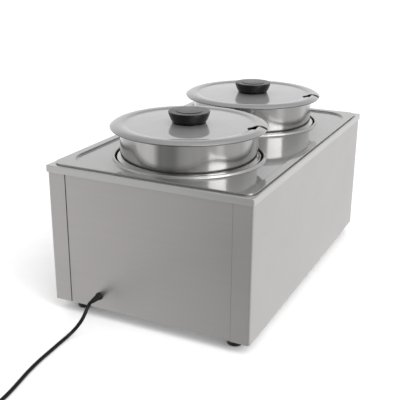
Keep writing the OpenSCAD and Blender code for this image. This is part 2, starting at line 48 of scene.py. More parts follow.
CAMERA_AZ = math.radians(205.80)
CAMERA_EL = math.radians(19.96)
CAMERA_ROLL = math.radians(0.37)
CAMERA_PLACE = Vector((-0.4946, 1.1122, 0.5654))
CAMERA_LENS = 66.19


def add_camera():
    data = bpy.data.cameras.new("camera")
    data.sensor_width = 36.0
    data.lens = CAMERA_LENS
    data.clip_start, data.clip_end = 0.05, 50.0
    cam = bpy.data.objects.new("camera", data)
    bpy.context.scene.collection.objects.link(cam)
    back = Vector((math.sin(CAMERA_AZ) * math.cos(CAMERA_EL), -math.cos(CAMERA_AZ) * math.cos(CAMERA_EL),
                   math.sin(CAMERA_EL)))
    right = Vector((math.cos(CAMERA_AZ), math.sin(CAMERA_AZ), 0.0))
    up = back.cross(right)
    rolled_right = right * math.cos(CAMERA_ROLL) + up * math.sin(CAMERA_ROLL)
    rolled_up = up * math.cos(CAMERA_ROLL) - right * math.sin(CAMERA_ROLL)
    turn = Matrix((rolled_right, rolled_up, back)).transposed()
    cam.matrix_world = Matrix.Translation(CAMERA_PLACE) @ turn.to_4x4()
    bpy.context.scene.camera = cam


add_camera()


# ---- Materials ----

# Most of a noise texture's values lie between these two
NOISE_LOW = 0.3
NOISE_HIGH = 0.7
SHEET_GRAIN_DEPTH = 0.000002
RING_DEPTH = 0.000006
STREAK_DEPTH = 0.0002
RINGS_PER_METRE = 2600
HOOPS_PER_METRE = 1900
# The gloss varies by this much, up and down, over sheet and spun steel and over moulded parts
STEEL_SPREAD = 0.03
MOULDED_SPREAD = 0.06
# Radius at which a lid's disc turns up into its flange, and the width over which the flange's painted shade
# comes in
LID_FLANGE_R = 0.0975
LID_SHADE_BLEND = 0.004


def new_material(name):
    mat = bpy.data.materials.new(name)
    mat.use_nodes = True
    tree = mat.node_tree
    return mat, tree, tree.nodes["Principled BSDF"]


def node_of(tree, kind, **inputs):
    made = tree.nodes.new(kind)
    for key, value in inputs.items():
        made.inputs[key.replace("_", " ")].default_value = value
    return made


def object_coords(tree, scale):
    coords = tree.nodes.new("ShaderNodeTexCoord")
    mapping = node_of(tree, "ShaderNodeMapping", Scale=scale)
    tree.links.new(coords.outputs["Object"], mapping.inputs["Vector"])
    return mapping.outputs["Vector"]


def axis_distance(tree, scale=1.0):
    """Distance from the piece's own axis, times scale."""
    flat = object_coords(tree, (scale, scale, 0))
    length = tree.nodes.new("ShaderNodeVectorMath")
    length.operation = "LENGTH"
    tree.links.new(flat, length.inputs[0])
    return length.outputs["Value"]


def ring_coords(tree, scale):
    """Coordinates that change only with the distance from the axis, for rings left by spinning."""
    joined = tree.nodes.new("ShaderNodeCombineXYZ")
    tree.links.new(axis_distance(tree, scale), joined.inputs["X"])
    return joined.outputs["Vector"]


def noise(tree, vector, detail, roughness):
    made = node_of(tree, "ShaderNodeTexNoise", Scale=1.0, Detail=detail, Roughness=roughness)
    tree.links.new(vector, made.inputs["Vector"])
    return made.outputs["Fac"]


def remap(tree, value, low, high, from_low=NOISE_LOW, from_high=NOISE_HIGH):
    made = node_of(tree, "ShaderNodeMapRange", From_Min=from_low, From_Max=from_high, To_Min=low, To_Max=high)
    tree.links.new(value, made.inputs["Value"])
    return made.outputs["Result"]


def color_between(tree, value, dark, light):
    ramp = tree.nodes.new("ShaderNodeValToRGB")
    ends = ramp.color_ramp.elements
    ends[0].position, ends[1].position = NOISE_LOW, NOISE_HIGH
    ends[0].color, ends[1].color = (*dark, 1), (*light, 1)
    tree.links.new(value, ramp.inputs["Fac"])
    return ramp.outputs["Color"]


def bump(tree, shader, height, strength, distance, under=None):
    made = node_of(tree, "ShaderNodeBump", Strength=strength, Distance=distance)
    tree.links.new(height, made.inputs["Height"])
    if under is not None:
        tree.links.new(under, made.inputs["Normal"])
    tree.links.new(made.outputs["Normal"], shader.inputs["Normal"])
    return made.outputs["Normal"]


def gloss_coat(shader, weight, rough, ior):
    shader.inputs["Coat Weight"].default_value = weight
    shader.inputs["Coat Roughness"].default_value = rough
    shader.inputs["Coat IOR"].default_value = ior


def vary_gloss(tree, shader, value, rough, spread):
    tree.links.new(remap(tree, value, rough - spread, rough + spread), shader.inputs["Roughness"])


def sheet_steel(name, dark, light, rough, grain_scale, coat=(0, 0.1, 1.5)):
    """Sheet steel: fine grain along one axis, smudges in the gloss."""
    mat, tree, shader = new_material(name)
    shader.inputs["Metallic"].default_value = 1.0
    gloss_coat(shader, *coat)
    grain = noise(tree, object_coords(tree, grain_scale), 2.0, 0.5)
    smudge = noise(tree, object_coords(tree, (9, 9, 9)), 4.0, 0.6)
    tree.links.new(color_between(tree, grain, dark, light), shader.inputs["Base Color"])
    vary_gloss(tree, shader, smudge, rough, STEEL_SPREAD)
    bump(tree, shader, grain, 0.3, SHEET_GRAIN_DEPTH)
    return mat


def spun_steel(name, dark, light, rough, streak, coat, stretch=0.0, painted_flange_shade=1.0):
    """Spun and polished steel: rings round the axis and streaks across them in the bumps. In the colour the
    streaks are painted reflection, and a lid's flange gets painted shade.
    """
    mat, tree, shader = new_material(name)
    shader.inputs["Metallic"].default_value = 1.0
    gloss_coat(shader, *coat)
    if stretch:
        shader.inputs["Anisotropic"].default_value = stretch
        shader.inputs["Anisotropic Rotation"].default_value = 0.25
        tangent = tree.nodes.new("ShaderNodeTangent")
        tangent.direction_type, tangent.axis = "RADIAL", "Z"
        tree.links.new(tangent.outputs["Tangent"], shader.inputs["Tangent"])
    # Painted reflection: this noise lightens and darkens the base colour in vertical strips, like reflected
    # studio strips; the same noise also gives real bumps
    streaks_and_painted_reflection = noise(tree, object_coords(tree, (streak, streak, 0.4)), 3.0, 0.6)
    tone = color_between(tree, streaks_and_painted_reflection, dark, light)
    # Painted shade: the flange's colour is darkened by radius, standing in for the darker reflections its
    # tilt gives
    if painted_flange_shade < 1:
        flange_shade_band = remap(tree, axis_distance(tree), 1.0, painted_flange_shade, LID_FLANGE_R, LID_FLANGE_R + LID_SHADE_BLEND)
        shaded = tree.nodes.new("ShaderNodeVectorMath")
        shaded.operation = "SCALE"
        tree.links.new(tone, shaded.inputs[0])
        tree.links.new(flange_shade_band, shaded.inputs["Scale"])
        tone = shaded.outputs["Vector"]
    tree.links.new(tone, shader.inputs["Base Color"])
    smudge = noise(tree, object_coords(tree, (14, 14, 14)), 4.0, 0.6)
    vary_gloss(tree, shader, smudge, rough, STEEL_SPREAD)
    slow = bump(tree, shader, streaks_and_painted_reflection, 0.5, STREAK_DEPTH)
    rings = noise(tree, ring_coords(tree, RINGS_PER_METRE), 2.0, 0.5)
    turned = bump(tree, shader, rings, 0.3, RING_DEPTH, slow)
    hoops = noise(tree, object_coords(tree, (6, 6, HOOPS_PER_METRE)), 2.0, 0.5)
    bump(tree, shader, hoops, 0.3, RING_DEPTH, turned)
    return mat


def moulded(name, dark, light, rough, grain=900.0, depth=0.00005, metal=0.0, coat=0.0, shine=0.5):
    """Moulded or cast surface with fine grain, patchy gloss and a slight change of tone."""
    mat, tree, shader = new_material(name)
    shader.inputs["Specular IOR Level"].default_value = shine
    shader.inputs["Metallic"].default_value = metal
    gloss_coat(shader, coat, 0.12, 1.5)
    patch = noise(tree, object_coords(tree, (35, 35, 35)), 4.0, 0.6)
    fine = noise(tree, object_coords(tree, (grain, grain, grain)), 2.0, 0.5)
    tree.links.new(color_between(tree, patch, dark, light), shader.inputs["Base Color"])
    vary_gloss(tree, shader, patch, rough, MOULDED_SPREAD)
    bump(tree, shader, fine, 0.4, depth)
    return mat


def grey(value, warm=0.0):
    return (value * (1 + warm), value, value * (1 - warm))


WARM = (1.03, 0.985, 0.98)


def warm(value):
    return tuple(value * c for c in WARM)


PANEL = sheet_steel("panel_steel", warm(0.448), warm(0.46), 0.43, (9, 9, 420), (0.35, 0.22, 1.6))
TRIM = sheet_steel("trim_steel", grey(0.50, 0.01), grey(0.52, 0.01), 0.42, (12, 12, 320), (0.6, 0.1, 1.6))
DIAL = sheet_steel("dial_steel", grey(0.45, 0.01), grey(0.5, 0.01), 0.32, (12, 12, 320))
PLATE = sheet_steel("plate_steel", grey(0.32, 0.008), grey(0.335, 0.008), 0.50, (320, 12, 12),
                    (1, 0.045, 1.75))
TANK = sheet_steel("tank_steel", grey(0.45), grey(0.5), 0.28, (12, 12, 320))
# The streaks in the pot's and the lid's colours are painted reflection
POT = spun_steel("pot_steel", grey(0.33, 0.012), grey(0.43, 0.012), 0.15, 34.0, (0.4, 0.06, 1.7), 0.4)
# The lid's 0.86 darkens its flange's colour: painted shade
LID = spun_steel("lid_steel", grey(0.35), grey(0.39), 0.66, 16.0, (1, 0.05, 1.9), 0.0, 0.86)
ZINC = moulded("zinc_plate", grey(0.42), grey(0.56), 0.4, metal=1.0)
RUBBER = moulded("black_rubber", grey(0.004), grey(0.009), 0.55, shine=0.3)
CORD = moulded("cord_sheath", grey(0.003), grey(0.005), 0.42, 1400.0, 0.00002, shine=0.22)
BLACK = moulded("black_plastic", grey(0.003), grey(0.005), 0.28, depth=0.000015, shine=0.34)
SHEATH = moulded("element_sheath", grey(0.12), grey(0.2), 0.55, metal=1.0)
WHITE = moulded("white_plastic", (0.68, 0.66, 0.6), (0.78, 0.76, 0.7), 0.45)
RESIN = moulded("brown_resin", (0.1, 0.045, 0.02), (0.15, 0.07, 0.03), 0.4)
COPPER = moulded("copper", (0.62, 0.3, 0.18), (0.75, 0.42, 0.27), 0.32, metal=1.0)
BRASS = moulded("brass", (0.6, 0.43, 0.17), (0.76, 0.58, 0.28), 0.28, metal=1.0)
GREEN = moulded("switch_green", (0.01, 0.15, 0.03), (0.015, 0.2, 0.045), 0.22, coat=0.4)
AMBER = moulded("lamp_amber", (0.6, 0.16, 0.01), (0.75, 0.24, 0.02), 0.15, coat=0.6)
BROWN_WIRE = moulded("brown_wire", (0.14, 0.06, 0.02), (0.2, 0.09, 0.035), 0.5)
BLUE_WIRE = moulded("blue_wire", (0.03, 0.12, 0.4), (0.05, 0.18, 0.5), 0.5)
GREEN_WIRE = moulded("green_wire", (0.2, 0.4, 0.03), (0.6, 0.6, 0.05), 0.5)
RED = moulded("fuse_red", (0.35, 0.02, 0.02), (0.45, 0.04, 0.03), 0.4)
INK = moulded("white_ink", (0.75, 0.75, 0.73), (0.82, 0.82, 0.8), 0.5, depth=0.00001)
DARK_INK = moulded("dark_ink", grey(0.015), grey(0.025), 0.5, depth=0.00001)

NODE_MATERIALS = {
    PANEL: ["rear_panel", "front_panel", "left_side_panel", "right_side_panel"],
    TRIM: ["top_frame"],
    PLATE: ["adaptor_plate"],
    DIAL: ["dial_ring"],
    TANK: ["well_tank"],
    POT: ["front_pot", "rear_pot"],
    LID: ["front_lid", "rear_lid"],
    ZINC: ["base_plate", "foot_screws", "foot_nuts", "base_screws", "element_clamps", "clamp_studs",
           "clamp_nuts", "thermostat_screws", "thermostat_shaft", "bulb_clips", "front_knob_screw",
           "rear_knob_screw", "front_knob_washer", "rear_knob_washer"],
    RUBBER: ["rubber_feet", "cord_gland"],
    CORD: ["power_cord", "cord_coil", "cord_tail"],
    BLACK: ["front_lid_knob", "rear_lid_knob", "thermostat_knob", "switch_housing", "lamp_body", "coil_tie",
            "plug_body"],
    SHEATH: ["heating_element"],
    WHITE: ["thermostat_body", "terminal_block"],
    RESIN: ["overheat_cutout"],
    COPPER: ["thermostat_bulb", "capillary_tube"],
    BRASS: ["earth_stud", "plug_pins"],
    GREEN: ["switch_rocker"],
    AMBER: ["lamp_lens"],
    BROWN_WIRE: ["live_wiring"],
    BLUE_WIRE: ["neutral_wiring"],
    GREEN_WIRE: ["earth_wiring"],
    RED: ["fuse_carrier"],
}
for material, names in NODE_MATERIALS.items():
    for name in names:
        NODES[name].data.materials.clear()
        NODES[name].data.materials.append(material)


# ---- Mesh helpers: lengths in millimetres, meshes as (points, faces) ----

def arc(cx, cz, r, start, end, count):
    """Points of an arc about (cx, cz), in degrees."""
    angles = [math.radians(start + (end - start) * i / count) for i in range(count + 1)]
    return [(cx + r * math.cos(a), cz + r * math.sin(a)) for a in angles]


def smooth_line(points, steps):
    """Catmull-Rom points through the given ones."""
    found = []
    last = len(points) - 1
    for i in range(last):
        a, b, c, d = (Vector(points[min(max(k, 0), last)]) for k in (i - 1, i, i + 1, i + 2))
        for k in range(steps):
            u = k / steps
            found.append(0.5 * (2 * b + (c - a) * u + (2 * a - 5 * b + 4 * c - d) * u * u
                                + (3 * b - a - 3 * c + d) * u ** 3))
    return [tuple(p) for p in found] + [tuple(points[-1])]


def lathe(profile, turns, closed=True):
    """Surface of revolution of (r, z) points about the Z axis."""
    points, faces, rows = [], [], []
    for r, z in profile:
        if r < 1e-6:
            rows.append([len(points)])
            points.append((0, 0, z))
        else:
            rows.append(list(range(len(points), len(points) + turns)))
            points += [(r * math.cos(math.tau * i / turns), r * math.sin(math.tau * i / turns), z)
                       for i in range(turns)]
    pairs = list(zip(rows, rows[1:])) + ([(rows[-1], rows[0])] if closed else [])
    for a, b in pairs:
        for i in range(turns):
            j = (i + 1) % turns
            corners = [a[i % len(a)], a[j % len(a)], b[j % len(b)], b[i % len(b)]]
            face = [p for k, p in enumerate(corners) if p not in corners[:k]]
            if len(face) > 2:
                faces.append(face)
    return points, faces


def ring(w, d, r, z, steps=10):
    """Round-cornered rectangle as a ring of points."""
    points = []
    for quarter, (sx, sy) in enumerate(((1, 1), (-1, 1), (-1, -1), (1, -1))):
        points += [(sx * (w / 2 - r) + x, sy * (d / 2 - r) + y, z)
                   for x, y in arc(0, 0, r, 90 * quarter, 90 * quarter + 90, steps)]
    return points


def stack(rings, caps=False, wrap=False, open_ring=False):
    """Faces between successive rings of equal length."""
    count = len(rings[0])
    points = [p for one in rings for p in one]
    faces = []
    for level in range(len(rings) if wrap else len(rings) - 1):
        a, b = level * count, (level + 1) % len(rings) * count
        for i in range(count - 1 if open_ring else count):
            j = (i + 1) % count
            faces.append([a + i, a + j, b + j, b + i])
    if caps:
        faces += [list(range(count)), list(range((len(rings) - 1) * count, len(rings) * count))]
    return points, faces


def block(w, d, corner, z0, z1, edge, steps=6, rounds=3, taper=0.0):
    """Slab with round corners and rounded edges, standing on z0; its top is narrower by taper."""
    rings = []
    for z_side in (0, 1):
        for k in range(rounds + 1):
            a = math.radians(90 * (k if z_side == 0 else rounds - k) / rounds)
            inset, climb = edge * (1 - math.sin(a)), edge * (1 - math.cos(a))
            cut = 2 * inset + (taper if z_side else 0)
            z = z1 - climb if z_side else z0 + climb
            rings.append(ring(w - cut, d - cut, max(corner - inset, 0.05), z, steps))
    return stack(rings, caps=True)


def placed(part, x=0.0, y=0.0, z=0.0, turn=0.0):
    c, s = math.cos(math.radians(turn)), math.sin(math.radians(turn))
    return [(x + c * px - s * py, y + s * px + c * py, z + pz) for px, py, pz in part[0]], part[1]


def facing_front(part, x, y, z):
    """Turns a part whose own +Z is outwards to face -Y at (x, y, z)."""
    return [(x + px, y - pz, z + py) for px, py, pz in part[0]], part[1]


def joined(*parts):
    points, faces = [], []
    for part_points, part_faces in parts:
        faces += [[i + len(points) for i in face] for face in part_faces]
        points += part_points
    return points, faces


SHARP_EDGE = math.radians(32)
WELD = 0.000002


def add_piece(name, part, material, body, replaces, at=(0, 0, 0), sheet=0.0):
    """Mesh object with its origin at `at`, riding on a body. sheet gives an open surface its thickness."""
    points, faces = part
    mesh = bpy.data.meshes.new(name)
    mesh.from_pydata([tuple(c * MM for c in p) for p in points], [], faces)
    made = bpy.data.objects.new(name, mesh)
    bpy.context.scene.collection.objects.link(made)
    bm = bmesh.new()
    bm.from_mesh(mesh)
    bmesh.ops.remove_doubles(bm, verts=bm.verts, dist=WELD)
    bmesh.ops.recalc_face_normals(bm, faces=bm.faces)
    bm.to_mesh(mesh)
    bm.free()
    if sheet:
        thick = made.modifiers.new("thickness", "SOLIDIFY")
        thick.thickness, thick.offset, thick.use_even_offset = sheet * MM, -1.0, True
        solid = bpy.data.meshes.new_from_object(made.evaluated_get(bpy.context.evaluated_depsgraph_get()))
        solid.name = name
        made.modifiers.clear()
        made.data = solid
        mesh = solid
    for polygon in mesh.polygons:
        polygon.use_smooth = True
    mesh.set_sharp_from_angle(angle=SHARP_EDGE)
    weighted = made.modifiers.new("normals", "WEIGHTED_NORMAL")
    weighted.keep_sharp = True
    mesh.materials.clear()
    mesh.materials.append(material)
    made.location = Vector(at) * MM
    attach(made, body)
    if replaces:
        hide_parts(replaces)
    return made


# ---- Lead: sleeve, free run, coil, tail and plug ----

CORD_D = 5.5
EXIT_X, EXIT_Y, EXIT_Z = 84.0, 288.5, 40.0
COIL = (35.0, 568.0)
COIL_R = 43.0
COIL_TURNS = 3.625
LEAD_OUT = [(84, 288.5, 40), (84, 293, 40), (82.8, 299.5, 38.8), (81.9, 306.5, 34.8), (82.2, 312.5, 29),
            (83.6, 318, 22.8), (86.2, 323.5, 16.7), (89.5, 329, 11.1), (92.6, 335, 6.6), (94.8, 342, 3.8),
            (95.5, 350, 2.8), (95.2, 360, 2.75), (94.4, 374, 2.75), (93.8, 388, 2.75), (93, 402, 2.75),
            (91.9, 416, 2.75), (90.3, 430, 2.75), (88.2, 444, 2.75), (85.6, 458, 2.75), (83, 472, 2.75),
            (80.7, 486, 2.75), (79, 500, 2.75), (78.1, 514, 2.75), (78, 528, 2.75), (78, 542, 2.75),
            (78, 555, 2.75)]
LEAD_TAIL = [(27, 611, 8.25), (18, 611, 7.6), (9, 611, 6), (0, 611, 4.2), (-9, 611, 2.9), (-18, 611, 3.1),
             (-27, 611, 4.6), (-36, 611, 7), (-44, 611, 9.3), (-52, 611, 10.5), (-60, 611, 10.5)]


def coil_route():
    """Bottom layer winds inwards from the lead, top layer winds back out above it."""
    points = []
    count = round(COIL_TURNS * 18)
    for layer in (0, 1):
        for i in range(count + 1):
            if layer and i == 0:
                continue
            turned = COIL_TURNS * (layer + i / count)
            inwards = turned if layer == 0 else 2 * COIL_TURNS - turned
            r = COIL_R - CORD_D * inwards
            climb = min(max((turned - COIL_TURNS + 0.2) / 0.4, 0.0), 1.0)
            a = math.tau * turned
            points.append((COIL[0] + r * math.cos(a), COIL[1] + r * math.sin(a),
                           CORD_D / 2 + CORD_D * climb))
    return points


def add_cord():
    route = LEAD_OUT + coil_route() + LEAD_TAIL
    curve = bpy.data.curves.new("mains_lead", "CURVE")
    curve.dimensions = "3D"
    curve.bevel_depth = CORD_D / 2 * MM
    curve.bevel_resolution = 5
    curve.use_fill_caps = True
    line = curve.splines.new("BEZIER")
    line.resolution_u = 4
    line.bezier_points.add(len(route) - 1)
    for knot, place in zip(line.bezier_points, route):
        knot.co = Vector(place) * MM
        knot.handle_left_type = knot.handle_right_type = "AUTO"
    made = bpy.data.objects.new("mains_lead", curve)
    bpy.context.scene.collection.objects.link(made)
    curve.materials.append(CORD)
    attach(made, BODY)
    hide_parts("power_cord", "cord_coil", "cord_tail")
    return made


PLUG_X, PLUG_Y = -108, 611
PLUG_ENTRY_X, PLUG_ENTRY_Z = -60, 10.5
PLUG_FACE_Z = 21
PIN_SPREAD = 11.1


def plug_parts():
    """Three-pin plug lying on its back: shell, cable sleeve, pins and fuse carrier."""
    shell = joined(placed(block(48, 50, 8, 0, 17.4, 3), PLUG_X, PLUG_Y),
                   placed(block(44.5, 46.5, 6.5, 16.9, PLUG_FACE_Z, 1.2), PLUG_X, PLUG_Y))
    sleeve = []
    for i in range(6):
        x0 = 1.4 + i * 3.9
        r = 3.5 + 0.42 * i
        sleeve += [(r - 0.55, x0 - 0.7), (r, x0 - 0.2), (r, x0 + 1.9), (r - 0.55, x0 + 2.4)]
    sleeve = [(2.9, 0)] + sleeve + [(6.2, 24.8), (0, 24.8), (0, 0)]
    points, faces = lathe(sleeve, 48)
    tube = [(PLUG_ENTRY_X - pz, PLUG_Y + py, PLUG_ENTRY_Z + px) for px, py, pz in points], faces
    pins = [placed(block(6.4, 4, 0.5, PLUG_FACE_Z, 38.7, 0.6), PLUG_X + 14, PLUG_Y + side * PIN_SPREAD)
            for side in (-1, 1)]
    pins.append(placed(block(4, 8, 0.5, PLUG_FACE_Z, 43.7, 0.6), PLUG_X - 10, PLUG_Y))
    carrier = joined(placed(block(9.4, 23.4, 0.8, 17.4, 21.1, 0.4), PLUG_X + 1, PLUG_Y),
                     placed(block(1.4, 9, 0.3, 20.9, 21.2, 0.1), PLUG_X + 1, PLUG_Y))
    return joined(shell, tube), joined(*pins), carrier


def add_plug():
    shell, pins, carrier = plug_parts()
    body = add_piece("plug_shell", shell, BLACK, BODY, "plug_body")
    blades = add_piece("plug_blades", pins, BRASS, BODY, "plug_pins")
    fuse = add_piece("plug_fuse_carrier", carrier, RED, BODY, "fuse_carrier")
    return [body, blades, fuse]


TIE_Y = 535.1
TIE_SECTION = [(-1.1, -4.2), (-0.9, -4.5), (-0.2, -4.5), (0, -4.2), (0, 4.2), (-0.2, 4.5), (-0.9, 4.5),
               (-1.1, 4.2)]


def add_tie():
    """Strap round the coil's section, its end lapped over the outside."""
    wide, tall, corner = 28.2, 12.0, 3.2
    rings = []
    for grow, x in TIE_SECTION:
        outline = ring(wide + 2 * grow, tall + 2 * grow, corner + grow, 0)
        rings.append([(COIL[0] + x, TIE_Y + y, tall / 2 + z) for y, z, _ in outline])
    buckle = placed(block(9, 6, 0.8, 10.9, 12, 0.35), COIL[0], 531)
    return add_piece("coil_strap", joined(stack(rings, wrap=True), buckle), RUBBER, BODY, "coil_tie")


REAR_Y = 268.5


def add_gland():
    """Ribbed sleeve that holds the lead where it leaves the rear panel, with its flange and inner collar."""
    y0 = REAR_Y
    profile = [(0, y0 - 6), (5.9, y0 - 6), (6.3, y0 - 5.6), (6.3, y0 - 1.2), (6.1, y0 - 1), (4.8, y0 - 1),
               (4.8, y0), (5.7, y0), (6, y0 + 0.3), (6, y0 + 1.9), (5.6, y0 + 2.5), (5, y0 + 2.7)]
    for i in range(5):
        y = y0 + 4.2 + i * 3.1
        r = 4.75 - 0.32 * i
        profile += [(r - 0.65, y - 0.5), (r - 0.65, y), (r, y + 0.3), (r - 0.05, y + 1.9), (r - 0.6, y + 2.2)]
    profile += [(3.2, EXIT_Y - 0.4), (3.0, EXIT_Y), (0, EXIT_Y)]
    points, faces = lathe(profile, 64)
    turned = [(EXIT_X + px, pz, EXIT_Z + py) for px, py, pz in points], faces
    return add_piece("cord_sleeve", turned, RUBBER, BODY, "cord_gland")


lead = add_cord()
plug = add_plug()
tie = add_tie()
add_gland()


# ---- Frame, adaptor plate and feet ----

FRAME_W, FRAME_D, FRAME_TOP = 334, 544, 240
OPENING_W, OPENING_D, OPENING_R = 307, 512, 52


def add_frame():
    """Folded top frame: flat rim with a rounded fold, a hemmed skirt and a round-cornered opening."""
    w, d, top, t, fold, corner = FRAME_W, FRAME_D, FRAME_TOP, 1.0, 1.4, 2.0
    rings = [ring(w - 2 * t, d - 2 * t, 1.0, top - 10.1), ring(w - 1.4, d - 1.4, 1.3, top - 10.5),
             ring(w - 0.5, d - 0.5, 1.8, top - 10.4), ring(w, d, corner, top - 9.9)]
    for x, z in arc(-fold, -fold, fold, 0, 90, 6):
        rings.append(ring(w + 2 * x, d + 2 * x, corner + x, top + z))
    rings += [ring(OPENING_W + 0.8, OPENING_D + 0.8, OPENING_R + 0.4, top),
              ring(OPENING_W, OPENING_D, OPENING_R, top - 0.4),
              ring(OPENING_W, OPENING_D, OPENING_R, top - t),
              ring(w - 2 * fold, d - 2 * fold, 0.6, top - t), ring(w - 2 * t, d - 2 * t, 1.0, top - fold)]
    add_piece("folded_frame", stack(rings, wrap=True), TRIM, BODY, "top_frame")


PLATE_W, PLATE_D = 325, 530
PLATE_RIM = 242.5
PLATE_FLOOR = 239.5
POT_Y = (-129.0, 129.0)
COLLAR_R = 120.5
COLLAR_TURNS = 192


def collar_profile():
    z = PLATE_FLOOR
    bend = smooth_line([(COLLAR_R, z), (119.6, z + 0.35), (118.9, z + 1.5), (118.3, z + 2.9),
                        (117.4, z + 3.8), (116.4, z + 4), (115.4, z + 3.6), (114.8, z + 2.6)], 3)
    return bend + [(114.7, z + 1.4), (114.7, z - 1.5), (114.7, z - 1.9)]


def plate_floor_fill(outer):
    """Flat floor between the step's foot and the two collars."""
    bm = bmesh.new()
    turns = [math.tau * i / COLLAR_TURNS for i in range(COLLAR_TURNS)]
    loops = [outer] + [[(COLLAR_R * math.cos(a), y + COLLAR_R * math.sin(a), PLATE_FLOOR) for a in turns]
                       for y in POT_Y]
    edges = []
    for loop in loops:
        verts = [bm.verts.new(p) for p in loop]
        for a, b in zip(verts, verts[1:] + verts[:1]):
            if (a.co - b.co).length > 1e-6:
                edges.append(bm.edges.new((a, b)))
    bmesh.ops.triangle_fill(bm, use_beauty=True, edges=edges, normal=(0, 0, 1))
    bm.verts.index_update()
    part = [tuple(v.co) for v in bm.verts], [[v.index for v in f.verts] for f in bm.faces]
    bm.free()
    return part


def collar_tab():
    """Small lip inside a collar, ten degrees wide, that carries the pot."""
    rows = []
    for r, z in [(109.4, 238.6), (113.2, 238.6)] + arc(113.2, 239.9, 1.3, 280, 340, 3):
        rows.append([(r * math.cos(math.radians(a)), r * math.sin(math.radians(a)), z) for a in range(-5, 6)])
    return stack(rows, open_ring=True)


def add_plate():
    """Pressed plate: rolled rim edge, rounded step, flat floor and two raised collars with lips."""
    w, d, step = PLATE_W, PLATE_D, (PLATE_RIM - PLATE_FLOOR) / 2
    rings = [ring(w, d, 18, PLATE_RIM - 0.6), ring(w - 0.3, d - 0.3, 17.9, PLATE_RIM - 0.15),
             ring(w - 1, d - 1, 17.6, PLATE_RIM)]
    middle = (PLATE_RIM + PLATE_FLOOR) / 2
    for x, z in arc(-step, middle, step, 90, 0, 5) + arc(step, middle, step, 180, 270, 5)[1:]:
        rings.append(ring(w - 26 - 2 * x, d - 26 - 2 * x, 48 - x, z))
    surface = stack(rings)
    floor = plate_floor_fill(rings[-1])
    collars = [placed(lathe(collar_profile(), COLLAR_TURNS, closed=False), 0, y) for y in POT_Y]
    tabs = [placed(collar_tab(), 0, y, 0, turn) for y in POT_Y for turn in (0, 90, 180, 270)]
    add_piece("pressed_plate", joined(surface, floor, *collars, *tabs), PLATE, "plate", "adaptor_plate",
              sheet=1.0)


FOOT_X, FOOT_Y = 131, 239


def add_feet():
    """Round rubber feet with a chamfered sole, a fine groove and a hollow that hides the screw."""
    profile = [(5.5, 0.4), (5.9, 0), (10.6, 0), (11.5, 0.3), (12, 1.2), (11.8, 6), (11.5, 6.3), (11.5, 7),
               (11.75, 7.3), (11.3, 19.4), (10.8, 20), (2.2, 20), (2.2, 8), (5.5, 8)]
    feet = [placed(lathe(profile, 64), sx * FOOT_X, sy * FOOT_Y) for sx in (-1, 1) for sy in (-1, 1)]
    add_piece("moulded_feet", joined(*feet), RUBBER, BODY, "rubber_feet")


SEAM_X, SEAM_Y = 135.7, 268.6


def add_seams():
    """Thin black rubber strip beside each wrap on the short faces: painted shade for the shadow gap at the
    seam.
    """
    # Painted shade: a dark strip put where the seam has only a shadow gap
    bead = block(0.6, 0.5, 0.2, 20, 229, 0.15, 2, 1)
    shadow_strips = [placed(bead, sx * SEAM_X, sy * SEAM_Y) for sx in (-1, 1) for sy in (-1, 1)]
    add_piece("painted_seam_shadow", joined(*shadow_strips), RUBBER, BODY, None)


add_frame()
add_plate()
add_feet()
add_seams()


# ---- Pots, lids and knobs, each made once about its own axis and placed twice ----

POT_TOP = 292.4
POT_BOTTOM = 127.0
POT_R = 106.4
POT_WALL = 1
POT_CORNER = 10


def pot_profile():
    """Round-bottomed pot with the bead that hangs in the collar and a wide flange under the lid."""
    z0, z1, r, corner = POT_BOTTOM, POT_TOP, POT_R, POT_CORNER
    inner = r - POT_WALL
    outside = [(0, z0), (60, z0)] + arc(r - corner, z0 + corner, corner, 270, 360, 10)
    outside += [(r, 180), (r, 238.2)]
    bead = [(r + 0.6, 238.6), (110.4, 238.7)] + arc(110.6, 240.1, 1.4, 270, 450, 8)
    bead += [(r + 0.8, 241.5), (r, 241.9), (r, 262)]
    under = [(r, z1 - 3), (r + 0.15, z1 - 2), (r + 0.7, z1 - 1.25), (r + 1.6, z1 - 1), (r + 3.6, z1 - 1),
             (r + 5.8, z1 - 1.7), (r + 8.6, z1 - 2.6), (r + 10.7, z1 - 3.5), (r + 12.4, z1 - 4.5),
             (r + 13.5, z1 - 5.35)]
    flange = [(r + 14, z1 - 5.45), (r + 14.35, z1 - 5.2), (r + 14.3, z1 - 4.8), (r + 13.2, z1 - 3.7),
              (r + 11.4, z1 - 2.6), (r + 9.1, z1 - 1.6), (r + 6.1, z1 - 0.7), (r + 3.6, z1), (r + 1.6, z1),
              (r + 0.7, z1 - 0.12), (r, z1 - 0.45), (inner + 0.35, z1 - 1.1), (inner + 0.08, z1 - 1.7),
              (inner, z1 - 2.4)]
    inside = [(inner, 240), (inner, 180)] + arc(r - corner, z0 + corner, corner - POT_WALL, 360, 270, 10)
    inside += [(60, z0 + 1), (0, z0 + 1)]
    return outside + bead + under + flange + inside


NOTCH_R = 92.5
NOTCH_W = 26.0
NOTCH_TURN = 187.5
LID_SHEET = 1.0
LID_TURNS = 240
# Angle, from either side of the notch, over which the lid's points are drawn aside
NOTCH_SPREAD = 0.6
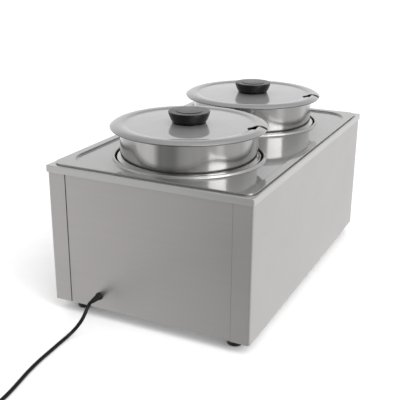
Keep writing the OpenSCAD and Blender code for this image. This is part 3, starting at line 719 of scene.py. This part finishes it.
# Flat middle, slight fall, arched flange and edge, as (radius, height above the pots' rim)
LID_TOP = [(2.75, 0.1), (20, 0.1), (26, 0.1), (38, -0.05), (50, -0.3), (65, -0.66), (80, -1.02),
           (NOTCH_R, -1.33), (92.6, -1.33), (92.8, -1.33), (93.3, -1.35), (94.2, -1.37), (95.5, -1.4),
           (96.6, -1.36), (97.5, -1.27), (98.5, -1.02), (99.5, -0.7), (100.7, -0.28), (102, 0.2),
           (103.2, 0.52), (104.5, 0.75), (106, 0.92), (107.5, 1.0), (109, 1.03), (110.5, 1.0),
           (112, 0.84), (113.5, 0.6), (115, 0.2), (116.5, -0.3), (117.8, -0.86), (119, -1.5),
           (120, -2.1), (120.8, -2.7), (121.3, -3.15), (121.5, -3.5)]


def notch_half_angle(r):
    """Half the angle that the notch takes at radius r."""
    centre, half = NOTCH_R + NOTCH_W / 2, NOTCH_W / 2
    if r <= NOTCH_R:
        return 0.0
    if r < centre:
        return math.acos(min((r * r + centre * centre - half * half) / (2 * r * centre), 1.0))
    return math.asin(half / r)


def lid_ring(r, z):
    """One ring of the lid, from one side of the notch round to the other."""
    cut = notch_half_angle(r)
    points = []
    for i in range(LID_TURNS + 1):
        a = math.tau * i / LID_TURNS
        near = max(0.0, 1 - a / NOTCH_SPREAD) - max(0.0, 1 - (math.tau - a) / NOTCH_SPREAD)
        a += cut * near + math.radians(NOTCH_TURN)
        points.append((r * math.cos(a), r * math.sin(a), POT_TOP + z))
    return points


def lid_part():
    """Pressed lid with smooth walls at its edge, its notch and its centre hole."""
    top = [lid_ring(r, z) for r, z in LID_TOP]
    under = [lid_ring(r - 0.5, z - 0.75) if r > 121 else lid_ring(r, z - LID_SHEET) for r, z in LID_TOP]
    points, faces = stack(top + under[::-1], wrap=True, open_ring=True)
    count, levels = len(top[0]), len(top)
    for i in range(levels - 1):
        for side in (0, count - 1):
            a, b = i * count + side, (i + 1) * count + side
            c, d = (2 * levels - 2 - i) * count + side, (2 * levels - 1 - i) * count + side
            if LID_TOP[i][0] >= NOTCH_R:
                faces.append([a, b, c, d])
    return points, faces


LID_KNOB_H = 19.0


def knob_profile():
    """Bowl-shaped knob: a base ring, a groove, flared sides and a raised disc on its top."""
    h = LID_KNOB_H
    bowl = smooth_line([(25.4, 2.1), (26.3, 2.8), (28, 5), (29.4, 8), (30.6, 11), (31.5, 13.6),
                        (32.1, 16.2)], 4)
    outer = [(0, 0), (25.8, 0), (26.3, 0.4), (26.3, 1.2), (26, 1.5), (25.3, 1.7)] + bowl
    rim = arc(30.9, 16.8, 1.3, 0, 90, 6)
    top = [(22.2, h - 0.8), (21.4, h - 0.75), (21.1, h - 0.6), (20.8, h - 0.2), (20.3, h), (0, h)]
    return outer + rim + top


def add_pots():
    for side, y in zip(("front", "rear"), POT_Y):
        at = (0, y, 0)
        lid = side + "_lid"
        spun = lathe(pot_profile(), 256, closed=False)
        knob = placed(lathe(knob_profile(), 128, closed=False), z=POT_TOP + 0.1)
        add_piece(side + "_spun_pot", spun, POT, side + "_pot", side + "_pot", at)
        add_piece(side + "_pressed_lid", lid_part(), LID, lid, lid, at)
        add_piece(side + "_turned_knob", knob, BLACK, lid, side + "_lid_knob", at)


add_pots()


# ---- Controls on the front ----

FRONT_Y = -268.5
CONTROL_Z = 60.0
DIAL_X = 40.0
LAMP_X = -20.0
DIAL_TURN = 270.0
DIAL_NUMBERS = 6
DIAL_TICKS = 24
DIAL_FACE = 1.0
NUMBER_R = 29
TICK_R = 24.6


def dial_angle(step, steps):
    """Angle of a dial mark, clockwise from the top, as the thermostat turns."""
    return math.radians(90.0 - DIAL_TURN * step / steps)


def number_parts():
    parts = []
    for step in range(DIAL_NUMBERS + 1):
        text = bpy.data.curves.new("number", "FONT")
        text.body, text.size, text.align_x, text.align_y = str(step), 6.0, "CENTER", "CENTER"
        holder = bpy.data.objects.new("number", text)
        mesh = holder.to_mesh()
        a = dial_angle(step, DIAL_NUMBERS)
        outline = [tuple(v.co) for v in mesh.vertices], [list(p.vertices) for p in mesh.polygons]
        parts.append(placed(outline, NUMBER_R * math.cos(a), NUMBER_R * math.sin(a), DIAL_FACE + 0.04))
        bpy.data.objects.remove(holder)
        bpy.data.curves.remove(text)
    return parts


def tick_parts():
    """Fine ticks, short where a number stands beside them."""
    parts = []
    for step in range(DIAL_TICKS + 1):
        a = dial_angle(step, DIAL_TICKS)
        length = 1.8 if step % 4 else 0.9
        mark = block(length, 0.45, 0.05, DIAL_FACE, DIAL_FACE + 0.05, 0.02, 1, 1)
        parts.append(placed(mark, TICK_R * math.cos(a), TICK_R * math.sin(a), 0, math.degrees(a)))
    return parts


def add_dial():
    at = (DIAL_X, FRONT_Y, CONTROL_Z)
    dial = lathe([(22.5, 0), (22.5, 0.7), (22.8, 1), (32.6, 1), (33, 0.6), (33, 0)], 128)
    add_piece("printed_dial", facing_front(dial, *at), DIAL, BODY, "dial_ring")
    marks = facing_front(joined(*tick_parts(), *number_parts()), *at)
    add_piece("dial_marks", marks, DARK_INK, BODY, None)
    skirt = lathe([(0, 2.7), (20.4, 2.7), (21, 3.2), (21, 5.6), (20.3, 6.5), (16, 8.2), (13.6, 9.8),
                   (12.4, 10.6), (0, 10.7)], 128, closed=False)
    grip = block(8, 37.6, 3.9, 9.5, 20, 1.6, 8, 4, taper=0.8)
    add_piece("thermostat_grip", facing_front(joined(skirt, grip), *at), BLACK, "thermostat_dial",
              "thermostat_knob")
    pointer = placed(block(1.2, 9, 0.5, 19.9, 20.05, 0.05, 2, 1), 0, 12.5)
    add_piece("grip_pointer", facing_front(pointer, *at), INK, "thermostat_dial", None)


def add_lens():
    dome = smooth_line([(6.5, 0.6), (6.3, 2), (5.6, 3.3), (4.2, 4.1), (2.2, 4.4), (0.01, 4.5)], 4)
    lens = lathe([(0, 0), (6.5, 0)] + dome + [(0, 4.5)], 64, closed=False)
    add_piece("ribbed_lens", facing_front(lens, LAMP_X, FRONT_Y - 1.5, CONTROL_Z), AMBER, BODY, "lamp_lens")


add_dial()
add_lens()


# ---- Floor and light ----

def add_floor():
    """Plain pale floor. Glossy rays pass it, so that the steel mirrors the studio's walls alone."""
    mesh = bpy.data.meshes.new("floor")
    half = 30.0
    corners = [(-half, -half, 0), (half, -half, 0), (half, half, 0), (-half, half, 0)]
    mesh.from_pydata(corners, [], [(0, 1, 2, 3)])
    floor = bpy.data.objects.new("floor", mesh)
    bpy.context.scene.collection.objects.link(floor)
    mesh.materials.append(moulded("floor_paint", grey(0.90), grey(0.92), 0.9, depth=0.0))
    floor.visible_glossy = False


def add_area(name, place, target, size, power):
    data = bpy.data.lights.new(name, "AREA")
    data.shape = "RECTANGLE"
    data.size, data.size_y = size
    data.energy = power
    light = bpy.data.objects.new(name, data)
    light.location = place
    light.rotation_euler = (Vector(target) - Vector(place)).to_track_quat("-Z", "Y").to_euler()
    bpy.context.scene.collection.objects.link(light)


# Brightness of the studio's walls in reflections, by compass angle in degrees from +X towards +Y
WALL_TONES = [(-180, 0.75), (-150, 0.75), (-132, 1.0), (-104, 1.0), (-84, 0.9), (-64, 0.95), (-35, 0.95),
              (-18, 0.85), (12, 0.8), (24, 1.0), (56, 1.0), (66, 0.3), (94, 0.3), (102, 0.48), (130, 0.6),
              (158, 0.7), (164, 1.0), (171, 1.0), (177, 0.75), (180, 0.75)]
# The same by height, from straight down at 0 to straight up at 1
HEIGHT_TONES = [(0.0, 0.95), (0.5, 0.95), (0.7, 1.0), (0.78, 0.66), (0.88, 0.6), (1.0, 1.0)]


def tone_ramp(tree, value, tones):
    ramp = tree.nodes.new("ShaderNodeValToRGB")
    elements = ramp.color_ramp.elements
    elements.remove(elements[1])
    for i, (place, tone) in enumerate(tones):
        stop = elements.new(place) if i else elements[0]
        stop.position = place
        stop.color = (tone, tone, tone, 1)
    tree.links.new(value, ramp.inputs["Fac"])
    return ramp.outputs["Color"]


WORLD_STRENGTH = 1.12


def add_world():
    """White studio. In reflections its walls have soft bright and dark strips, as between light boxes."""
    world = bpy.data.worlds.new("studio")
    bpy.context.scene.world = world
    world.use_nodes = True
    tree = world.node_tree
    shade = tree.nodes["Background"]
    shade.inputs["Strength"].default_value = WORLD_STRENGTH
    coords = tree.nodes.new("ShaderNodeTexCoord")
    around = tree.nodes.new("ShaderNodeTexGradient")
    around.gradient_type = "RADIAL"
    tree.links.new(coords.outputs["Generated"], around.inputs["Vector"])
    split = tree.nodes.new("ShaderNodeSeparateXYZ")
    tree.links.new(coords.outputs["Generated"], split.inputs["Vector"])
    level = remap(tree, split.outputs["Z"], 0.0, 1.0, -1.0, 1.0)
    wall_tones = [(angle / 360 + 0.5, tone) for angle, tone in WALL_TONES]
    both = tree.nodes.new("ShaderNodeVectorMath")
    both.operation = "MULTIPLY"
    tree.links.new(tone_ramp(tree, around.outputs["Fac"], wall_tones), both.inputs[0])
    tree.links.new(tone_ramp(tree, level, HEIGHT_TONES), both.inputs[1])
    path = tree.nodes.new("ShaderNodeLightPath")
    choose = tree.nodes.new("ShaderNodeMix")
    choose.data_type = "RGBA"
    choose.inputs[6].default_value = (1, 1, 1, 1)
    tree.links.new(path.outputs["Is Glossy Ray"], choose.inputs["Factor"])
    tree.links.new(both.outputs["Vector"], choose.inputs[7])
    tree.links.new(choose.outputs[2], shade.inputs["Color"])


add_floor()
add_world()
add_area("key", (-1.6, 1.2, 2.4), (0, 0, 0.2), (1.6, 1.6), 26)
add_area("side", (-2.3, 0.8, 1.4), (0, 0, 0.2), (1.4, 1.4), 28)
bpy.context.scene.view_settings.view_transform = "Standard"
